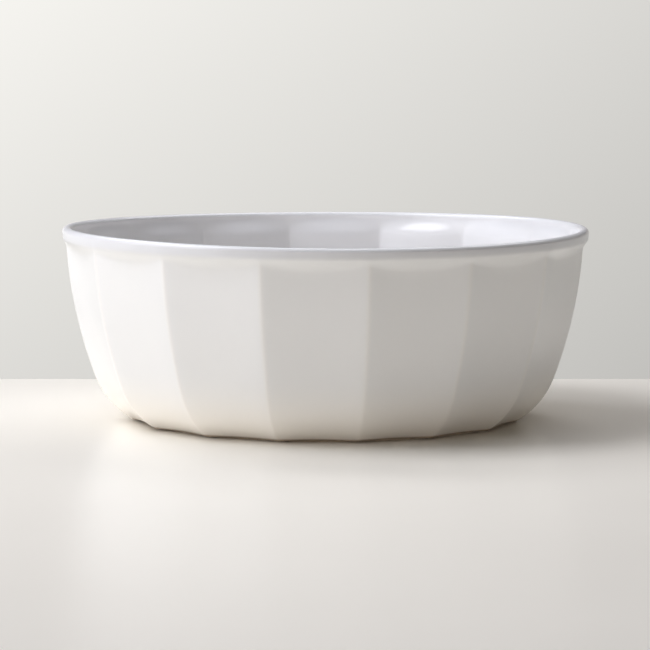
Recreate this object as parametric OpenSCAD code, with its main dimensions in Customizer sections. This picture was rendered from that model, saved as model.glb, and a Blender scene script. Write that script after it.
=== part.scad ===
// Fluted porcelain serving bowl.
// The fired clay body is cut into the regions that a potter names, from the foot
// ring up to the rim band, and the glaze is a thin coat of its own over them.
// +Z is up. The origin is the middle of the foot, on the table.

/* [Bowl] */
// Diameter over the rim band
rim_d = 280; // [270:1:300]
// Height from the table to the top of the lip
height = 103; // [95:1:112]
// Thickness of the wall, glaze included
wall_t = 4.6; // [4:0.1:5]
// Height of the inside floor above the table
floor_z = 7.5; // [6.5:0.1:9]

/* [Flutes] */
// Number of flutes, with one ridge on each axis
flutes = 16; // [12:4:20]
// How far each flute is dished below a flat panel
flute_hollow = 0.7; // [0:0.1:1.5]
// Angle over which the crest of a ridge is softened, in degrees
ridge_soft = 0.4; // [0.2:0.05:1.5]
// How far the bottom edge of a flute lifts between two ridges
edge_lift = 0.9; // [0:0.1:1.5]
// Height over which that lift dies away
lift_h = 14; // [8:1:20]

/* [Rim band] */
// Radius of the half-round lip
lip_r = 2.5; // [2:0.1:2.8]
// Height of the plain band, from its lower edge to the top of the lip
band_h = 6.2; // [5:0.1:8]
// How far the ridges stand back behind the face of the band
band_step = 1.4; // [0.8:0.1:2]
// Slope of the shoulder under the band, inward for each unit down
shoulder_slope = 1; // [0.8:0.05:1.3]
// Height of the rim piece, down to where the flutes run clear
rim_piece_h = 13; // [12:0.5:16]

/* [Heel] */
// Diameter over the ridges where the heel leaves the base
base_d = 207.6; // [204:0.1:214]
// Angle of the heel above the table where it leaves the base
base_angle = 30; // [24:1:36]
// Angle of the wall above the table where the heel ends
knee_angle = 69.5; // [66:0.5:72]
// Radius of the heel, seen from the side
heel_r = 45; // [40:1:48]
// Radius of the corner between heel and underside
corner_r = 4; // [3:0.5:6]

/* [Foot] */
// Diameter over the foot ring
foot_d = 195; // [190:1:198]
// Width of the foot ring
foot_w = 6; // [4:0.5:7]
// How far the ridges clear the table
foot_gap = 0.35; // [0.3:0.05:0.6]
// Depth of the hollow inside the foot ring
recess_h = 2.5; // [2:0.1:3]
// Radius on the two bottom edges of the foot ring
foot_round = 0.8; // [0.4:0.1:1.2]
// Diameter of the floor disc
floor_d = 180; // [170:1:182]

/* [Glaze] */
// Thickness of the fired glaze
glaze_t = 0.3; // [0.2:0.05:0.4]

/* [Hidden] */

$fn = 96;

bisque = "#e9e0d2";
glaze_white = "#f4f4f2";

// Columns of points across one flute, as fractions from one ridge to the next
spread = [0, 0.055, 0.26, 0.5, 0.74, 0.945];
columns = len(spread);
around = flutes * columns;
half_flute = 180 / flutes;
// A round edge is drawn this much larger, so that its chords clear a true circle
widest_gap = spread[3] - spread[2];
clear_round = 1 / cos(widest_gap * half_flute);

// Reference radii and heights of the glazed surface
rim_r = rim_d / 2;
base_r = base_d / 2;
foot_r = foot_d / 2;
band_z = height - band_h;
split_z = height - rim_piece_h;
// Softness of the edge between band and shoulder, and of the hollow under it
shoulder_round = 0.8;
shoulder_fillet = 0.7;

// Where the heel leaves the base, and the knee where it becomes the wall
heel_z = foot_gap + corner_r * (1 - cos(base_angle));
heel_cr = base_r - heel_r * sin(base_angle);
heel_cz = heel_z + heel_r * cos(base_angle);
knee = [heel_cr + heel_r * sin(knee_angle), heel_cz - heel_r * cos(knee_angle)];

// The wall is one long arc from the knee to the foot of the band
wall_top = [rim_r - band_step, band_z];
rise = wall_top - knee;
wall_r = (rise * rise) / (2 * (rise * [-sin(knee_angle), cos(knee_angle)]));
wall_cr = knee[0] - wall_r * sin(knee_angle);
wall_cz = knee[1] + wall_r * cos(knee_angle);
top_angle = acos((wall_cz - split_z) / wall_r);

// The cove turns the inside of the wall into the flat floor
inner_knee = knee + wall_t * [-sin(knee_angle), cos(knee_angle)];
cove_r = (inner_knee[1] - floor_z) / (1 - cos(knee_angle));
cove_cr = inner_knee[0] - cove_r * sin(knee_angle);

// Steps taken along each arc
corner_steps = 2;
heel_steps = 3;
wall_steps = 3;
cove_steps = 4;
shoulder_steps = 5;
lip_step = 45;
throat_steps = 4;

function between(a, b, steps) = [for (i = [0:steps]) a + (b - a) * i / steps];
function backward(list) = [for (i = [len(list) - 1:-1:0]) list[i]];
function soft_max(a, b, w) = (a + b + sqrt((a - b) * (a - b) + w * w)) / 2;
function ease(t) = let(c = min(1, max(0, t))) c * c * (3 - 2 * c);

// Angle between a column and the nearest ridge, with the ridge softened
function off_ridge(u) = norm([min(u, 1 - u) * 2 * half_flute, ridge_soft]);

// How far the fluted surface lies inside the circle through its ridges
function sunk(r, u) =
    let(off = half_flute - off_ridge(u))
    r * (1 - cos(half_flute) / cos(off)) + flute_hollow * (1 - pow(off / half_flute, 2));
function inset(r, u) = sunk(r, u) - sunk(r, 0);

// Height that the bottom edge of a flute gains between two ridges
function lift(u) = 1 - pow(1 - min(u, 1 - u) * 2, 2);

// A station is one ring of points: [radius at the ridges, height, share of the
// flute depth, share of the edge lift, radius of the band's shoulder or 0]
function point(s, i, u) =
    let(angle = (i + u) * 2 * half_flute)
    let(fluted = s[0] - s[2] * inset(s[0], u))
    let(r = s[4] > 0 ? soft_max(fluted, s[4], shoulder_fillet) : fluted)
    [r * cos(angle), r * sin(angle), s[1] + s[3] * edge_lift * lift(u)];
function ring(s) = [for (i = [0:flutes - 1], u = spread) point(s, i, u)];

function lift_share(z) = pow(max(0, 1 - z / lift_h), 2);
function on_arc(cr, cz, r, a) =
    let(z = cz - r * cos(a))
    [cr + r * sin(a), z, 1, lift_share(z), 0];

// Stations of each stretch of the profile, at depth g below the glazed surface
function underside(g) = [
    [foot_r * clear_round, foot_gap + g, 0, 0, 0],
    for (a = between(0, base_angle, corner_steps))
        on_arc(base_r - corner_r * sin(base_angle), foot_gap + corner_r, corner_r - g, a)];
function heel_outside(g) = [
    for (a = between(base_angle, knee_angle, heel_steps))
        if (a > base_angle) on_arc(heel_cr, heel_cz, heel_r - g, a)];
function wall_outside(g) = [
    for (a = between(knee_angle, top_angle, wall_steps))
        on_arc(wall_cr, wall_cz, wall_r - g, a)];
function wall_inside(g) = backward(wall_outside(wall_t - g));
function cove(g) = [
    for (a = backward(between(0, knee_angle, cove_steps)))
        if (a < knee_angle) on_arc(cove_cr, floor_z + cove_r, cove_r + g, a)];

// The shoulder falls away under the face of the band with a rounded edge
function band_face(z) =
    let(t = band_z - z)
    rim_r - shoulder_slope * (t + norm([t, shoulder_round])) / 2;
function wall_at(z, g) = wall_cr + sqrt(pow(wall_r - g, 2) - pow(wall_cz - z, 2));
function shoulder(g) = [
    for (z = between(split_z, band_z + 1.5 * shoulder_round, shoulder_steps))
        if (z > split_z) [wall_at(z, g), z, 1, 0, band_face(z) - g]];
function lip(g) = [
    for (a = [0:lip_step:180])
        [rim_r - lip_r + (lip_r - g) * cos(a), height - lip_r + (lip_r - g) * sin(a), 0, 0, 0]];
// Under the lip the inside starts out round and takes up the flutes on its way down
function throat(g) =
    let(top = height - lip_r, lip_in = rim_r - 2 * lip_r)
    [for (z = between(top, split_z, throat_steps))
        if (z < top && z > split_z)
            let(down = ease((top - z) / (top - split_z)))
            let(wall = wall_at(z, wall_t - g))
            [lip_in + g + (wall - lip_in - g) * down, z, down, 0, 0]];

// Skins a list of stations. Both ways of splitting a quad are used, so that two
// pieces that share a face also share its diagonals.
function quad(a, b, i, flipped) =
    let(j = (i + 1) % around)
    flipped
        ? [[a + i, b + i, a + j], [a + j, b + i, b + j]]
        : [[a + i, b + i, b + j], [a + i, b + j, a + j]];
function strip(k, count, flipped) =
    [for (i = [0:around - 1]) each quad(k * around, ((k + 1) % count) * around, i, flipped)];

// A ring of clay: the last strip, which closes it, has the other diagonals
module clay(stations) {
    count = len(stations);
    polyhedron(
        points = [for (s = stations) each ring(s)],
        faces = [for (k = [0:count - 1]) each strip(k, count, k == count - 1)],
        convexity = 8);
}

// A coat between two surfaces that each end in a flat disc round the axis
module sheet(outside, inside) {
    stations = concat(outside, inside);
    count = len(stations);
    turn = len(outside) - 1;
    discs = [outside[turn], inside[0]];
    hub = count * around;
    polyhedron(
        points = [
            for (s = stations) each ring(s),
            for (s = discs) [0, 0, s[1]]],
        faces = [
            for (k = [0:count - 1]) if (k != turn) each strip(k, count, k > turn),
            for (i = [0:around - 1]) [turn * around + i, hub, turn * around + (i + 1) % around],
            for (i = [0:around - 1])
                [(turn + 1) * around + (i + 1) % around, hub + 1, (turn + 1) * around + i]],
        convexity = 8);
}

// Bare ring that the bowl stands on, ground flat after firing
module foot_ring() {
    top = recess_h + glaze_t;
    color(bisque)
        rotate_extrude()
            translate([foot_r - foot_w, 0])
                union() {
                    translate([0, foot_round]) square([foot_w, top - foot_round]);
                    translate([foot_round, 0]) square([foot_w - 2 * foot_round, foot_round]);
                    for (x = [foot_round, foot_w - foot_round])
                        translate([x, foot_round]) circle(foot_round);
                }
}

// Flat disc of clay at the bottom of the bowl
module well_floor() {
    bottom = recess_h + glaze_t;
    color(bisque)
        translate([0, 0, bottom])
            cylinder(d = floor_d, h = floor_z - glaze_t - bottom);
}

// Lower part of the body, where the flutes turn under to the foot
module fluted_heel() {
    inner_r = floor_d / 2 * clear_round;
    color(bisque)
        clay(concat(
            [[inner_r, recess_h + glaze_t, 0, 0, 0],
             [foot_r * clear_round, recess_h + glaze_t, 0, 0, 0]],
            underside(glaze_t),
            heel_outside(glaze_t),
            [wall_inside(glaze_t)[wall_steps]],
            cove(glaze_t),
            [[inner_r, floor_z - glaze_t, 0, 0, 0]]));
}

// Steep part of the body between the knee and the rim
module fluted_wall()
    color(bisque)
        clay(concat(wall_outside(glaze_t), wall_inside(glaze_t)));

// Plain band with its half-round lip, and the shoulder that meets the flutes
module rim_band()
    color(bisque)
        clay(concat(
            [wall_outside(glaze_t)[wall_steps]],
            shoulder(glaze_t),
            lip(glaze_t),
            throat(glaze_t),
            [wall_inside(glaze_t)[0]]));

// Continuous coat from the foot ring, over the rim and across the floor
function coat(g) = concat(
    underside(g),
    heel_outside(g),
    [for (k = [1:wall_steps]) wall_outside(g)[k]],
    shoulder(g),
    lip(g),
    throat(g),
    wall_inside(g),
    cove(g));
module glaze_coat()
    color(glaze_white)
        sheet(coat(0), backward(coat(glaze_t)));

// Glaze on the underside, inside the foot ring
module underside_glaze()
    color(glaze_white)
        translate([0, 0, recess_h])
            cylinder(d = foot_d - 2 * foot_w, h = glaze_t);

foot_ring();
well_floor();
fluted_heel();
fluted_wall();
rim_band();
glaze_coat();
underside_glaze();
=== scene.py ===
"""A fluted porcelain serving bowl: the clay body from foot to rim, under a coat of white glaze."""

import math

import bpy
import numpy as np
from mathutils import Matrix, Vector


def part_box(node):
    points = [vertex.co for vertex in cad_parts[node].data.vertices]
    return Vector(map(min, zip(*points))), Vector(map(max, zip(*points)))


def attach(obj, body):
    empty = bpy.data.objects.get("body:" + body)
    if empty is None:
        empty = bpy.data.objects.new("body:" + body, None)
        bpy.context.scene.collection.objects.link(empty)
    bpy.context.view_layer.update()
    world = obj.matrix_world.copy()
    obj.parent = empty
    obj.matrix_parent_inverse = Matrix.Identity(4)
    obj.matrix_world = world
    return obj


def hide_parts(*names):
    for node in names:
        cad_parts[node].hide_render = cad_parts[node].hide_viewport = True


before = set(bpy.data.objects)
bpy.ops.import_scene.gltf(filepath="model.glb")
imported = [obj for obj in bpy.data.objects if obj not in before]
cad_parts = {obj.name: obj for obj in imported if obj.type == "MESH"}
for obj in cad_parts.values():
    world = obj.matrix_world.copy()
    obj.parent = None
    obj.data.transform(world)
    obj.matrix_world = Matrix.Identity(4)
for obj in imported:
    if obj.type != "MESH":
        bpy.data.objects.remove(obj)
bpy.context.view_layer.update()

# ---------------------------------------------------------------- foot ring
# The bare ring of fired clay that the bowl stands on. It is cast with the body,
# sponged clean of glaze before the firing, and ground flat so that it doesn't rock.
mm = 0.001
foot_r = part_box("foot_ring")[1].x
foot_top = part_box("foot_ring")[1].z
foot_w = 6 * mm
foot_round = 0.8 * mm
full_turn = 2 * math.pi
columns_round = 288


def arc(centre_r, centre_z, radius, start, end, steps):
    """Points (radius, height) on an arc, by the angle in degrees from straight down, outward."""
    a = np.radians(np.linspace(start, end, steps + 1))
    return np.column_stack((centre_r + radius * np.sin(a), centre_z - radius * np.cos(a)))


def turned(outline):
    """Rings of points, from an outline of (radius, height) pairs turned about the axis."""
    around = np.arange(columns_round) * full_turn / columns_round
    r = outline[:, 0, None]
    flat = np.broadcast_to(outline[:, 1, None], (len(outline), columns_round))
    return np.stack((r * np.cos(around), r * np.sin(around), flat), axis=2)


def skinned(name, rings, looped=True):
    """A smooth closed piece over rings of points. A looped one closes on itself, as a
    ring does; the other kind has its first and last rings closed at the axis."""
    count, columns = rings.shape[:2]
    points = rings.reshape(-1, 3).tolist()
    faces = []
    for k in range(count if looped else count - 1):
        low, high = k * columns, (k + 1) % count * columns
        for i in range(columns):
            j = (i + 1) % columns
            faces.append((low + i, low + j, high + j, high + i))
    if not looped:
        for k in (0, count - 1):
            hub = len(points)
            points.append((0.0, 0.0, rings[k, 0, 2]))
            edge = [k * columns + i for i in range(columns)]
            if k:
                edge.reverse()
            faces += [(edge[i], hub, edge[(i + 1) % columns]) for i in range(columns)]
    mesh = bpy.data.meshes.new(name)
    mesh.from_pydata(points, [], faces)
    mesh.validate()
    mesh.shade_smooth()
    piece = bpy.data.objects.new(name, mesh)
    bpy.context.scene.collection.objects.link(piece)
    return piece


def keep_corners(piece, degrees):
    """Edges that turn by more than this stay crisp under the smooth shading."""
    piece.data.set_sharp_from_angle(angle=math.radians(degrees))


class Wire:
    """One value on its way through a material. Sums on wires add Math nodes."""

    def __init__(self, finish, socket):
        self.finish = finish
        self.socket = socket

    def maths(self, operation, first, second=0.0):
        return self.finish.add("Math", {"operation": operation}, {0: first, 1: second})

    def __add__(self, other):
        return self.maths("ADD", self, other)

    def __radd__(self, other):
        return self.maths("ADD", other, self)

    def __sub__(self, other):
        return self.maths("SUBTRACT", self, other)

    def __rsub__(self, other):
        return self.maths("SUBTRACT", other, self)

    def __mul__(self, other):
        return self.maths("MULTIPLY", self, other)

    def __rmul__(self, other):
        return self.maths("MULTIPLY", other, self)

    def __pow__(self, other):
        return self.maths("POWER", self, other)

    def __abs__(self):
        return self.maths("ABSOLUTE", self)


class Finish:
    """A material, or the air of the scene, wired up node by node into one shader."""

    def __init__(self, owner, end="OutputMaterial"):
        self.owner = owner
        self.end = end
        owner.use_nodes = True
        self.tree = owner.node_tree
        self.tree.nodes.clear()

    def add(self, kind, settings=None, values=None, out=0):
        """Adds a node of this kind, with its settings first, then its sockets' values or
        wires, and gives back the wire from one of its outputs."""
        node = self.tree.nodes.new("ShaderNode" + kind)
        for key, value in (settings or {}).items():
            setattr(node, key, value)
        for key, value in (values or {}).items():
            if isinstance(value, Wire):
                self.tree.links.new(value.socket, node.inputs[key])
            else:
                node.inputs[key].default_value = value
        return None if out is None else Wire(self, node.outputs[out])

    def spread_over(self, value, low, high, start=0.0, end=1.0):
        """Moves a value from one range to another, and holds it at the ends."""
        return self.add("MapRange", {"interpolation_type": "SMOOTHSTEP"},
                        {0: value, 1: low, 2: high, 3: start, 4: end})

    def blend(self, share, first, second):
        """Mixes two colours, each a wire or three numbers."""
        ends = [c if isinstance(c, Wire) else (*c, 1.0) for c in (first, second)]
        return self.add("Mix", {"data_type": "RGBA"}, {0: share, 6: ends[0], 7: ends[1]}, out=2)

    def noise(self, place, scale, detail, rough=0.5):
        """Soft random patches, between nought and one."""
        return self.add("TexNoise", {}, {
            "Vector": place,
            "Scale": scale,
            "Detail": detail,
            "Roughness": rough,
        })

    def place(self):
        """Where a point lies on the object, in metres."""
        return self.add("TexCoord", out="Object")

    def parts(self, vector):
        """The three numbers of a vector."""
        return [self.add("SeparateXYZ", {}, {0: vector}, out=axis) for axis in range(3)]

    def done(self, shader):
        """Wires the shader to the end, and gives back what it was made for."""
        self.add(self.end, {}, {"Surface": shader}, out=None)
        return self.owner


def bare_clay():
    """Unglazed fired clay: matt, off-white, with fine grain and a little iron in it."""
    finish = Finish(bpy.data.materials.new("bare_clay"))
    place = finish.place()
    grain = finish.noise(place, scale=2600, detail=4, rough=0.65)
    cloud = finish.noise(place, scale=45, detail=3)
    speck = finish.spread_over(finish.noise(place, scale=900, detail=0), 0.76, 0.80)
    pale = finish.blend(cloud, (0.60, 0.49, 0.37), (0.70, 0.60, 0.48))
    colour = finish.blend(speck * 0.55, pale, (0.36, 0.25, 0.16))
    bump = finish.add("Bump", {}, {"Strength": 0.35, "Distance": 0.05 * mm, "Height": grain})
    return finish.done(finish.add("BsdfPrincipled", {}, {
        "Base Color": colour,
        "Roughness": 0.70 + grain * 0.2,
        "Specular IOR Level": 0.35,
        "Normal": bump,
    }))


foot_outline = np.concatenate((
    [[foot_r - foot_w, foot_top]],
    arc(foot_r - foot_w + foot_round, foot_round, foot_round, -90, 0, 6),
    arc(foot_r - foot_round, foot_round, foot_round, 0, 90, 6),
    [[foot_r, foot_top]],
))
foot_ring = skinned("bowl_foot_ring", turned(foot_outline))
keep_corners(foot_ring, 60)
foot_ring.data.materials.append(bare_clay())
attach(foot_ring, "root")
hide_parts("foot_ring")

# --------------------------------------------------------------- well floor
# The flat disc of clay at the bottom of the bowl, inside the foot ring. It is part
# of the same casting, and its upper face and its underside are both under glaze.
floor_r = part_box("well_floor")[1].x
floor_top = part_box("well_floor")[1].z


def clay_under_glaze():
    """The fired body where the glaze covers it: paler than the bare foot, and as matt."""
    finish = Finish(bpy.data.materials.new("clay_body"))
    place = finish.place()
    grain = finish.noise(place, scale=2200, detail=3, rough=0.6)
    cloud = finish.noise(place, scale=60, detail=3)
    colour = finish.blend(cloud, (0.80, 0.77, 0.71), (0.87, 0.85, 0.80))
    bump = finish.add("Bump", {}, {"Strength": 0.2, "Distance": 0.04 * mm, "Height": grain})
    return finish.done(finish.add("BsdfPrincipled", {}, {
        "Base Color": colour,
        "Roughness": 0.65 + grain * 0.2,
        "Normal": bump,
    }))


clay_body = clay_under_glaze()
floor_outline = np.array([
    [floor_r / 2, foot_top],
    [floor_r, foot_top],
    [floor_r, floor_top],
    [floor_r / 2, floor_top],
])
well_floor = skinned("bowl_floor", turned(floor_outline), looped=False)
keep_corners(well_floor, 60)
well_floor.data.materials.append(clay_body)
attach(well_floor, "root")
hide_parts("well_floor")

# ------------------------------------------------------------- fluted heel
# The lower part of the body, where sixteen flutes turn under towards the foot. The
# mould gives it its ridges; between them the bottom edge lifts off the table.
rim_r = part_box("glaze_coat")[1].x
rim_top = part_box("glaze_coat")[1].z
glaze_t = 0.3 * mm
floor_z = floor_top + glaze_t
flutes = 16
half_flute = math.pi / flutes
flute_hollow = 0.7 * mm
ridge_soft = math.radians(0.42)
edge_lift = 0.9 * mm
lift_h = 14 * mm
foot_gap = 0.35 * mm
corner_r = 4 * mm
wall_t = 4.6 * mm
base_r = 103.8 * mm
base_angle = 30
heel_r = 45 * mm
knee_angle = 69.5

# Columns of points crowd towards the ridges, where the surface turns
columns_a_flute = columns_round // flutes
crowding = 0.75
step = np.arange(columns_a_flute) / columns_a_flute
crowded = step - crowding * np.sin(full_turn * step) / full_turn
share = (np.arange(flutes)[:, None] + crowded[None, :]).ravel()
around = share * 2 * half_flute
across = 2 * np.abs(share - np.round(share))
lift = 1 - (1 - across) ** 2


def sunk(r, off_ridge):
    """How far the fluted surface lies inside the circle through its ridges."""
    off_middle = half_flute - np.hypot(off_ridge, ridge_soft)
    flat = r * (1 - math.cos(half_flute) / np.cos(off_middle))
    return flat + flute_hollow * (1 - (off_middle / half_flute) ** 2)


# Within this distance of each other, the shoulder and a flute run into one another
shoulder_fillet = 2.4 * mm

# The firing lets the rim sag on one diameter and lean a little. The two angles are
# where the rim stays highest.
rim_sag = 0.85 * mm
sag_turn = math.radians(6)
rim_lean = 0.4 * mm
lean_turn = math.radians(153)

# No cast wall is quite true. Two waves multiplied together, of so many to a turn,
# draw it in a little, and the first one twists on its way up.
waver = 0.06 * mm
twisting_waves = 3
upright_waves = 5
wave_twist = 2.1


def fluted(stations):
    """Rings of points from stations: radius at the ridges, height, share of the flute
    depth, share of the edge lift, and radius of the band's shoulder or nought."""
    r, z, depth, raised, shoulder = (column[:, None] for column in np.array(stations).T)
    inset = sunk(r, across * half_flute) - sunk(r, 0.0)
    wall = r - depth * inset
    near = np.clip(shoulder_fillet - np.abs(wall - shoulder), 0, None)
    wall = np.maximum(wall, shoulder) + near**2 / (4 * shoulder_fillet)
    up = z / rim_top
    wave = np.sin(twisting_waves * around + wave_twist * up) * np.cos(upright_waves * around)
    wall = wall - waver * up * depth * (1 + wave)
    high = z + raised * edge_lift * lift
    sagged = rim_sag * (1 - np.cos(2 * (around - sag_turn)))
    leaned = rim_lean * (1 - np.cos(around - lean_turn))
    high = high - up**2 * (sagged + leaned)
    return np.stack((wall * np.cos(around), wall * np.sin(around), high), axis=2)


def stationed(outline, depth=1.0):
    """Stations along an outline of (radius, height) pairs, with the flutes' full depth."""
    z = outline[:, 1]
    raised = np.clip(1 - z / lift_h, 0, 1) ** 2
    full = np.broadcast_to(depth, z.shape)
    return np.column_stack((outline, full, raised * full, np.zeros_like(z)))


def level(r, z):
    """One round station with no flutes."""
    return np.array([[r, z, 0.0, 0.0, 0.0]])


heel_start = foot_gap + corner_r * (1 - math.cos(math.radians(base_angle)))
heel_centre = Vector((
    base_r - heel_r * math.sin(math.radians(base_angle)),
    heel_start + heel_r * math.cos(math.radians(base_angle)),
))
inward = Vector((-math.sin(math.radians(knee_angle)), math.cos(math.radians(knee_angle))))
knee = heel_centre - heel_r * inward
inner_knee = knee + wall_t * inward
cove_r = (inner_knee.y - floor_z) / (1 - inward.y)
cove_centre_r = inner_knee.x + cove_r * inward.x


def underside(g, steps=6):
    """From the foot ring to where the heel leaves the base, at depth g under the surface."""
    corner = arc(base_r - corner_r * math.sin(math.radians(base_angle)),
                 foot_gap + corner_r, corner_r - g, 0, base_angle, steps)
    return np.concatenate((level(foot_r, foot_gap + g), stationed(corner)))


def heel_outside(g, steps=16):
    """From the corner of the base up to the knee, at depth g under the surface."""
    return stationed(arc(*heel_centre, heel_r - g, base_angle, knee_angle, steps))[1:]


def cove(g, steps=22):
    """From the knee down to the flat floor, inside the bowl."""
    return stationed(arc(cove_centre_r, floor_z + cove_r, cove_r + g, knee_angle, 0, steps))


fluted_heel = skinned("bowl_heel", fluted(np.concatenate((
    level(floor_r, foot_top),
    level(foot_r, foot_top),
    underside(glaze_t),
    heel_outside(glaze_t),
    cove(glaze_t),
    level(floor_r, floor_top),
))))
keep_corners(fluted_heel, 50)
fluted_heel.data.materials.append(clay_body)
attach(fluted_heel, "root")
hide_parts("fluted_heel")

# ------------------------------------------------------------- fluted wall
# The steep part of the body, from the knee up to the rim. Each flute is a nearly
# flat panel, dished by less than a millimetre, and the inside follows the outside.
band_h = 6.2 * mm
band_step = 1.4 * mm
rim_piece_h = 13 * mm
band_z = rim_top - band_h
split_z = rim_top - rim_piece_h
rise = Vector((rim_r - band_step, band_z)) - knee
wall_r = rise.length_squared / (2 * rise.dot(inward))
wall_centre = knee + wall_r * inward
top_angle = math.degrees(math.acos((wall_centre.y - split_z) / wall_r))


def wall_outside(g, steps=18):
    """From the knee up to the foot of the rim piece, at depth g under the surface."""
    return stationed(arc(*wall_centre, wall_r - g, knee_angle, top_angle, steps))


def wall_inside(g, steps=18):
    """The same stretch on the inside of the bowl, from the top down."""
    return wall_outside(wall_t - g, steps)[::-1]


fluted_wall = skinned("bowl_wall", fluted(np.concatenate((
    wall_outside(glaze_t),
    wall_inside(glaze_t),
))))
keep_corners(fluted_wall, 50)
fluted_wall.data.materials.append(clay_body)
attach(fluted_wall, "root")
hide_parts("fluted_wall")

# ---------------------------------------------------------------- rim band
# The plain round band with its half-round lip. Under it a short shoulder falls back
# to the flutes, low in the middle of each flute and high where it meets a ridge.
lip_r = 2.5 * mm
shoulder_slope = 1.0
shoulder_round = 0.8 * mm


def shoulder(g, steps=26):
    """From the foot of the rim piece up over the shoulder to the face of the band."""
    z = np.linspace(split_z, band_z + 1.5 * shoulder_round, steps + 1)[1:]
    fall = band_z - z
    face = rim_r - g - shoulder_slope * (fall + np.hypot(fall, shoulder_round)) / 2
    behind = wall_centre.x + np.sqrt((wall_r - g) ** 2 - (wall_centre.y - z) ** 2)
    plain = np.zeros_like(z)
    return np.column_stack((behind, z, plain + 1, plain, face))


def lip(g, steps=20):
    """Over the lip from the face of the band to the inside."""
    outline = arc(rim_r - lip_r, rim_top - lip_r, lip_r - g, 90, 270, steps)
    return stationed(outline, 0.0)


def throat(g, steps=20):
    """Under the lip the inside starts out round and takes up the flutes on its way down."""
    z = np.linspace(rim_top - lip_r, split_z, steps + 1)[1:-1]
    down = (rim_top - lip_r - z) / (rim_top - lip_r - split_z)
    down = down * down * (3 - 2 * down)
    behind = wall_centre.x + np.sqrt((wall_r - wall_t + g) ** 2 - (wall_centre.y - z) ** 2)
    start = rim_r - 2 * lip_r + g
    return stationed(np.column_stack((start + (behind - start) * down, z)), down)


rim_band = skinned("bowl_rim", fluted(np.concatenate((
    wall_outside(glaze_t)[-1:],
    shoulder(glaze_t),
    lip(glaze_t),
    throat(glaze_t),
    wall_inside(glaze_t)[:1],
))))
keep_corners(rim_band, 50)
rim_band.data.materials.append(clay_body)
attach(rim_band, "root")
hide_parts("rim_band")

# -------------------------------------------------------------- glaze coat
# The white glaze, a glassy coat a third of a millimetre thick. The bowl is dipped, so
# it runs unbroken from the foot ring, over the rim, and across the floor.

# How wide a crest is, as a share of a flute's width
crest_width = 0.045

# Where each change of tone starts and where it is complete, by height. The tones of the band, near
# the foot and of the line at the table are painted shade, painted warm light from the table and a
# painted contact shadow.
crests_start = (4 * mm, 14 * mm)
crests_end = (95 * mm, 90 * mm)
band_shade_start = (94 * mm, 97.5 * mm)
foot_bounce_range = (4 * mm, 36 * mm)
contact_shade_top = (0.9 * mm, 2.4 * mm)
contact_shade_bottom = (foot_gap + 0.02 * mm, foot_gap + 0.3 * mm)


def white_glaze(name):
    """Opaque white glaze: glossy, a touch warmer where it runs thin over the ridges, with a faint
    orange peel. Painted shade makes it darker and cooler inside and on the band. Painted warm
    light from the table makes it lighter and warmer near the foot. A thin dark brown painted
    contact shadow lies next to the table."""
    finish = Finish(bpy.data.materials.new(name))
    place = finish.place()
    x, y, z = finish.parts(place)

    # The crests of the ridges, by the turn about the axis counted in flutes
    turn = finish.add("Math", {"operation": "ARCTAN2"}, {0: y, 1: x}) * (flutes / full_turn)
    nearest_ridge = finish.add("Math", {"operation": "ROUND"}, {0: turn})
    off_ridge = abs(turn - nearest_ridge)
    on_wall = finish.spread_over(z, *crests_start) * finish.spread_over(z, *crests_end)
    thin = (1 - finish.spread_over(off_ridge, 0.0, crest_width)) * on_wall

    # The inside is where the surface doesn't face away from the middle of the foot, and it gets
    # painted shade: darker and a little bluer. The other parts go by height.
    outward = finish.add("TexCoord", out="Normal")
    facing = finish.add("VectorMath", {"operation": "DOT_PRODUCT"}, {0: outward, 1: place},
                        out="Value")
    inside_shade = finish.spread_over(facing, 0.0, 30 * mm, 1.0, 0.0)
    band_shade = finish.spread_over(z, *band_shade_start)
    foot_bounce = finish.spread_over(z, *foot_bounce_range, 1.0, 0.0)
    contact_shade = finish.spread_over(z, *contact_shade_top, 1.0, 0.0) * finish.spread_over(z, *contact_shade_bottom)
    cloud = finish.noise(place, scale=28, detail=3)
    white = finish.blend(cloud, (0.832, 0.836, 0.836), (0.866, 0.866, 0.858))
    colour = finish.blend(thin * 0.5, white, (0.880, 0.866, 0.836))
    # Painted shade: the inside is darker and a little bluer than the outside
    colour = finish.blend(inside_shade, colour, (0.785, 0.79, 0.808))
    # Painted shade: the band and the lip are darker and bluer
    colour = finish.blend(band_shade, colour, (0.75, 0.758, 0.782))
    # Painted light: near the foot the glaze is lighter and warmer, standing in for warm light
    # reflected from the table
    colour = finish.blend(foot_bounce, colour, (0.940, 0.905, 0.845))
    # Painted shadow: a thin dark brown contact shadow just above the table, where the bottom edge
    # lifts off it
    colour = finish.blend(contact_shade * 0.7, colour, (0.46, 0.30, 0.18))
    peel = finish.noise(place, scale=240, detail=2)
    bump = finish.add("Bump", {}, {"Strength": 0.10, "Distance": 0.05 * mm, "Height": peel})
    return finish.done(finish.add("BsdfPrincipled", {}, {
        "Base Color": colour,
        "Roughness": 0.20 + cloud * 0.06,
        "IOR": 1.52,
        "Normal": bump,
    }))


def coat(g, finer=2):
    """The whole way from the foot ring over the rim to the floor, at depth g."""
    return np.concatenate((
        underside(g, 3 * finer),
        heel_outside(g, 8 * finer),
        wall_outside(g, 9 * finer)[1:],
        shoulder(g, 13 * finer),
        lip(g, 10 * finer),
        throat(g, 10 * finer),
        wall_inside(g, 9 * finer),
        cove(g, 11 * finer)[1:],
    ))


def across_floor(g):
    """The flat of the floor, from its edge nearly to the axis."""
    last_ring = floor_r / 10
    radii = np.linspace(floor_r, last_ring, 6)
    return np.concatenate([level(r, floor_z - g) for r in radii])


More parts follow.
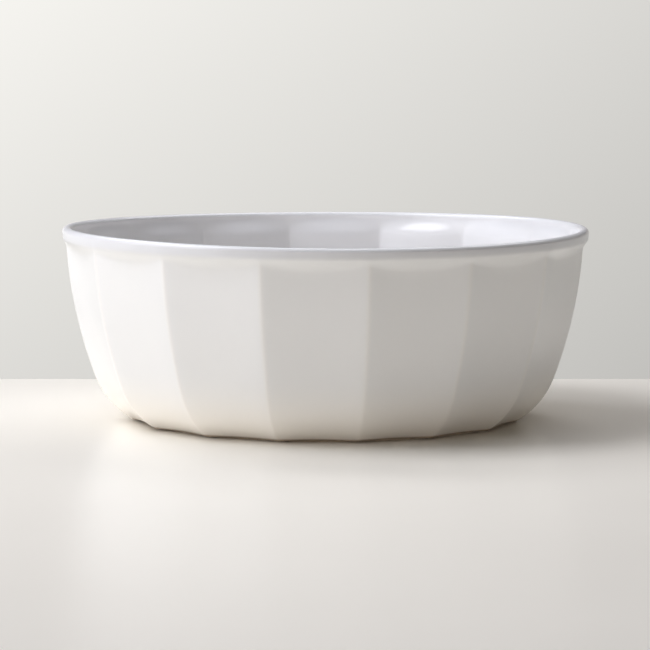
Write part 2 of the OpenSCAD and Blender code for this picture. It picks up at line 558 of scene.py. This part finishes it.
air_side = np.concatenate((coat(0.0), across_floor(0.0)))
clay_side = np.concatenate((coat(glaze_t, finer=1), across_floor(glaze_t)))
through_glaze = np.concatenate((clay_side[::-1], air_side))
glaze_coat = skinned("bowl_glaze", fluted(through_glaze), looped=False)
keep_corners(glaze_coat, 60)
glaze_coat.data.materials.append(white_glaze("white_glaze"))
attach(glaze_coat, "root")
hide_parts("glaze_coat")

# --------------------------------------------------------- underside glaze
# The patch of the same glaze inside the foot ring. The bare ring cuts it off from
# the rest, and it pulls up into a small rounded edge where it meets the clay.
patch_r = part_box("underside_glaze")[1].x
patch_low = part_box("underside_glaze")[0].z
edge_r = 0.25 * mm
patch_inner, patch_middle, patch_outer = 0.1 * patch_r, 0.5 * patch_r, 0.9 * patch_r
patch_outline = np.concatenate((
    [[patch_inner, patch_low], [patch_middle, patch_low], [patch_outer, patch_low]],
    arc(patch_r - edge_r, patch_low + edge_r, edge_r, 0, 90, 5),
    [[patch_r, foot_top], [patch_middle, foot_top], [patch_inner, foot_top]],
))
underside_glaze = skinned("bowl_underside_glaze", turned(patch_outline), looped=False)
keep_corners(underside_glaze, 60)
underside_glaze.data.materials.append(white_glaze("underside_glaze"))
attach(underside_glaze, "root")
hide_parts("underside_glaze")

# ------------------------------------------------------------ floor and air
# A plain pale table top and an even pale background. Neither is part of the bowl.
# The view is turned so that one ridge stands just to the right of the middle.
view_turn = math.radians(-9.01)
table_reach = 4.0
table_back = 0.171
table_thick = 0.03


def seen(right, back, up=0.0):
    """A point from its distance to the right, away from the viewer and up, in metres."""
    c, s = math.cos(view_turn), math.sin(view_turn)
    return Vector((right * c - back * s, right * s + back * c, up))


def pale_stone():
    """Honed pale stone, warm white, with the faintest drift of tone."""
    finish = Finish(bpy.data.materials.new("pale_stone"))
    place = finish.place()
    drift = finish.noise(place, scale=3, detail=4, rough=0.6)
    colour = finish.blend(drift, (0.905, 0.875, 0.80), (0.945, 0.915, 0.84))
    return finish.done(finish.add("BsdfPrincipled", {}, {
        "Base Color": colour,
        "Roughness": 0.26 + drift * 0.08,
        "Specular IOR Level": 0.2,
    }))


table_mesh = bpy.data.meshes.new("table_top")
corners = [
    (-table_reach, -table_reach),
    (table_reach, -table_reach),
    (table_reach, table_back),
    (-table_reach, table_back),
]
upper = [seen(right, back) for right, back in corners]
lower = [seen(right, back, -table_thick) for right, back in corners]
# The two broad faces, and the four narrow ones round the edge
edges = [(i, i + 4, (i + 1) % 4 + 4, (i + 1) % 4) for i in range(4)]
table_mesh.from_pydata(upper + lower, [], [(0, 1, 2, 3), (7, 6, 5, 4), *edges])
table_top = bpy.data.objects.new("table_top", table_mesh)
bpy.context.scene.collection.objects.link(table_top)
table_top.data.materials.append(pale_stone())


def towards(finish, direction, target):
    """How nearly a direction points at the target: one straight at it, nought side on."""
    return finish.add("VectorMath", {"operation": "DOT_PRODUCT"},
                      {0: direction, 1: target}, out="Value")


def studio_air(name):
    """An even pale backdrop below eye level, a glow round the horizon, and a dark ceiling.
    A height here is how far a direction points up: nought is level, one is overhead."""
    finish = Finish(bpy.data.worlds.new(name), "OutputWorld")
    direction = finish.add("TexCoord", out="Generated")
    up = finish.parts(direction)[2]
    right = towards(finish, direction, seen(1, 0))
    back = towards(finish, direction, seen(0, 1))
    above = finish.spread_over(up, 0.01, 0.07)

    # The low glow is strongest from the viewer's side, and weaker to the right and behind.
    # A second, higher glow stands only behind.
    glow_viewer, glow_right, glow_behind, glow_high = 5.1, 0.75, 0.6, 0.3
    low = finish.spread_over(up, 0.03, 0.17, 1.0, 0.0)
    middle = finish.spread_over(up, 0.12, 0.32) * finish.spread_over(up, 0.5, 0.8, 1.0, 0.0)
    behind = finish.add("Math", {"operation": "MAXIMUM"}, {0: back, 1: 0.0}) ** 2
    viewer = finish.add("Math", {"operation": "MAXIMUM"}, {0: 0.0 - back, 1: 0.0}) ** 2
    beside = finish.add("Math", {"operation": "MAXIMUM"}, {0: right, 1: 0.0}) ** 2
    low_glow = viewer * glow_viewer + beside * glow_right + behind * glow_behind
    glow = low * low_glow + middle * behind * glow_high

    # The backdrop fades to the right and downward, and past this far it fades no more
    fade_ends = 0.12
    fade_right, fade_down, backdrop_light = 1.35, 1.8, 0.80
    across = finish.add("Clamp", {}, {"Value": right, "Min": -fade_ends, "Max": fade_ends})
    down = finish.add("Math", {"operation": "MAXIMUM"}, {0: up, 1: -fade_ends})
    backdrop = (1 - across * fade_right) * (1 + down * fade_down) * backdrop_light

    light = above * glow + (1 - above) * backdrop
    tint = finish.blend(above, (1.0, 0.985, 0.945), (1.0, 0.895, 0.82))
    return finish.done(finish.add("Background", {}, {"Color": tint, "Strength": light}))


bpy.context.scene.world = studio_air("studio_air")

# -------------------------------------------------------------- soft lights
# Large soft panels, named for where they stand, each aimed at the middle of the bowl.
# Most of their power is on the left, and the viewer doesn't see the panels themselves.
bowl_middle = Vector((0, 0, 0.05))
daylight = (0.98, 0.985, 1.04)
pale_daylight = (1.0, 0.985, 1.0)


def soft_light(name, turn, height, away, size, power, tint):
    """An area light at so many degrees round from the viewer to the right, and up."""
    lamp = bpy.data.lights.new(name, "AREA")
    lamp.shape = "RECTANGLE"
    lamp.size, lamp.size_y = size
    lamp.energy = power
    lamp.color = tint
    turn, height = math.radians(turn), math.radians(height)
    sideways = math.cos(height)
    out = seen(math.sin(turn) * sideways, -math.cos(turn) * sideways, math.sin(height))
    lamp_object = bpy.data.objects.new(name, lamp)
    lamp_object.location = bowl_middle + away * out
    lamp_object.rotation_euler = (-out).to_track_quat("-Z", "Y").to_euler()
    lamp_object.visible_camera = False
    bpy.context.scene.collection.objects.link(lamp_object)


soft_light("window_left", -73, 20, 1.7, (1.5, 1.0), 11, daylight)
soft_light("sky_left", -85, 55, 1.7, (0.9, 0.9), 18, daylight)
soft_light("high_behind_left", -135, 45, 1.7, (0.45, 0.45), 6, daylight)
soft_light("high_behind", 160, 50, 1.9, (1.4, 0.8), 9, pale_daylight)
soft_light("ceiling", 180, 84, 1.9, (1.4, 1.4), 6, daylight)

# ------------------------------------------------------------------- camera
# A long lens, a little higher than the rim. It looks slightly down, and points very
# slightly to the left of the axis.
camera_out = 1.642
camera_up = 0.2153
camera_down = math.radians(5.77)
camera_aim = math.radians(0.012)
camera = bpy.data.cameras.new("camera")
camera.sensor_width = 36
camera.lens = 170.8
camera.clip_start = 0.05
camera.clip_end = 50
camera_object = bpy.data.objects.new("camera", camera)
camera_object.location = seen(0, -camera_out, camera_up)
camera_object.rotation_euler = (math.pi / 2 - camera_down, 0, view_turn + camera_aim)
bpy.context.scene.collection.objects.link(camera_object)
bpy.context.scene.camera = camera_object
bpy.context.scene.view_settings.view_transform = "Standard"
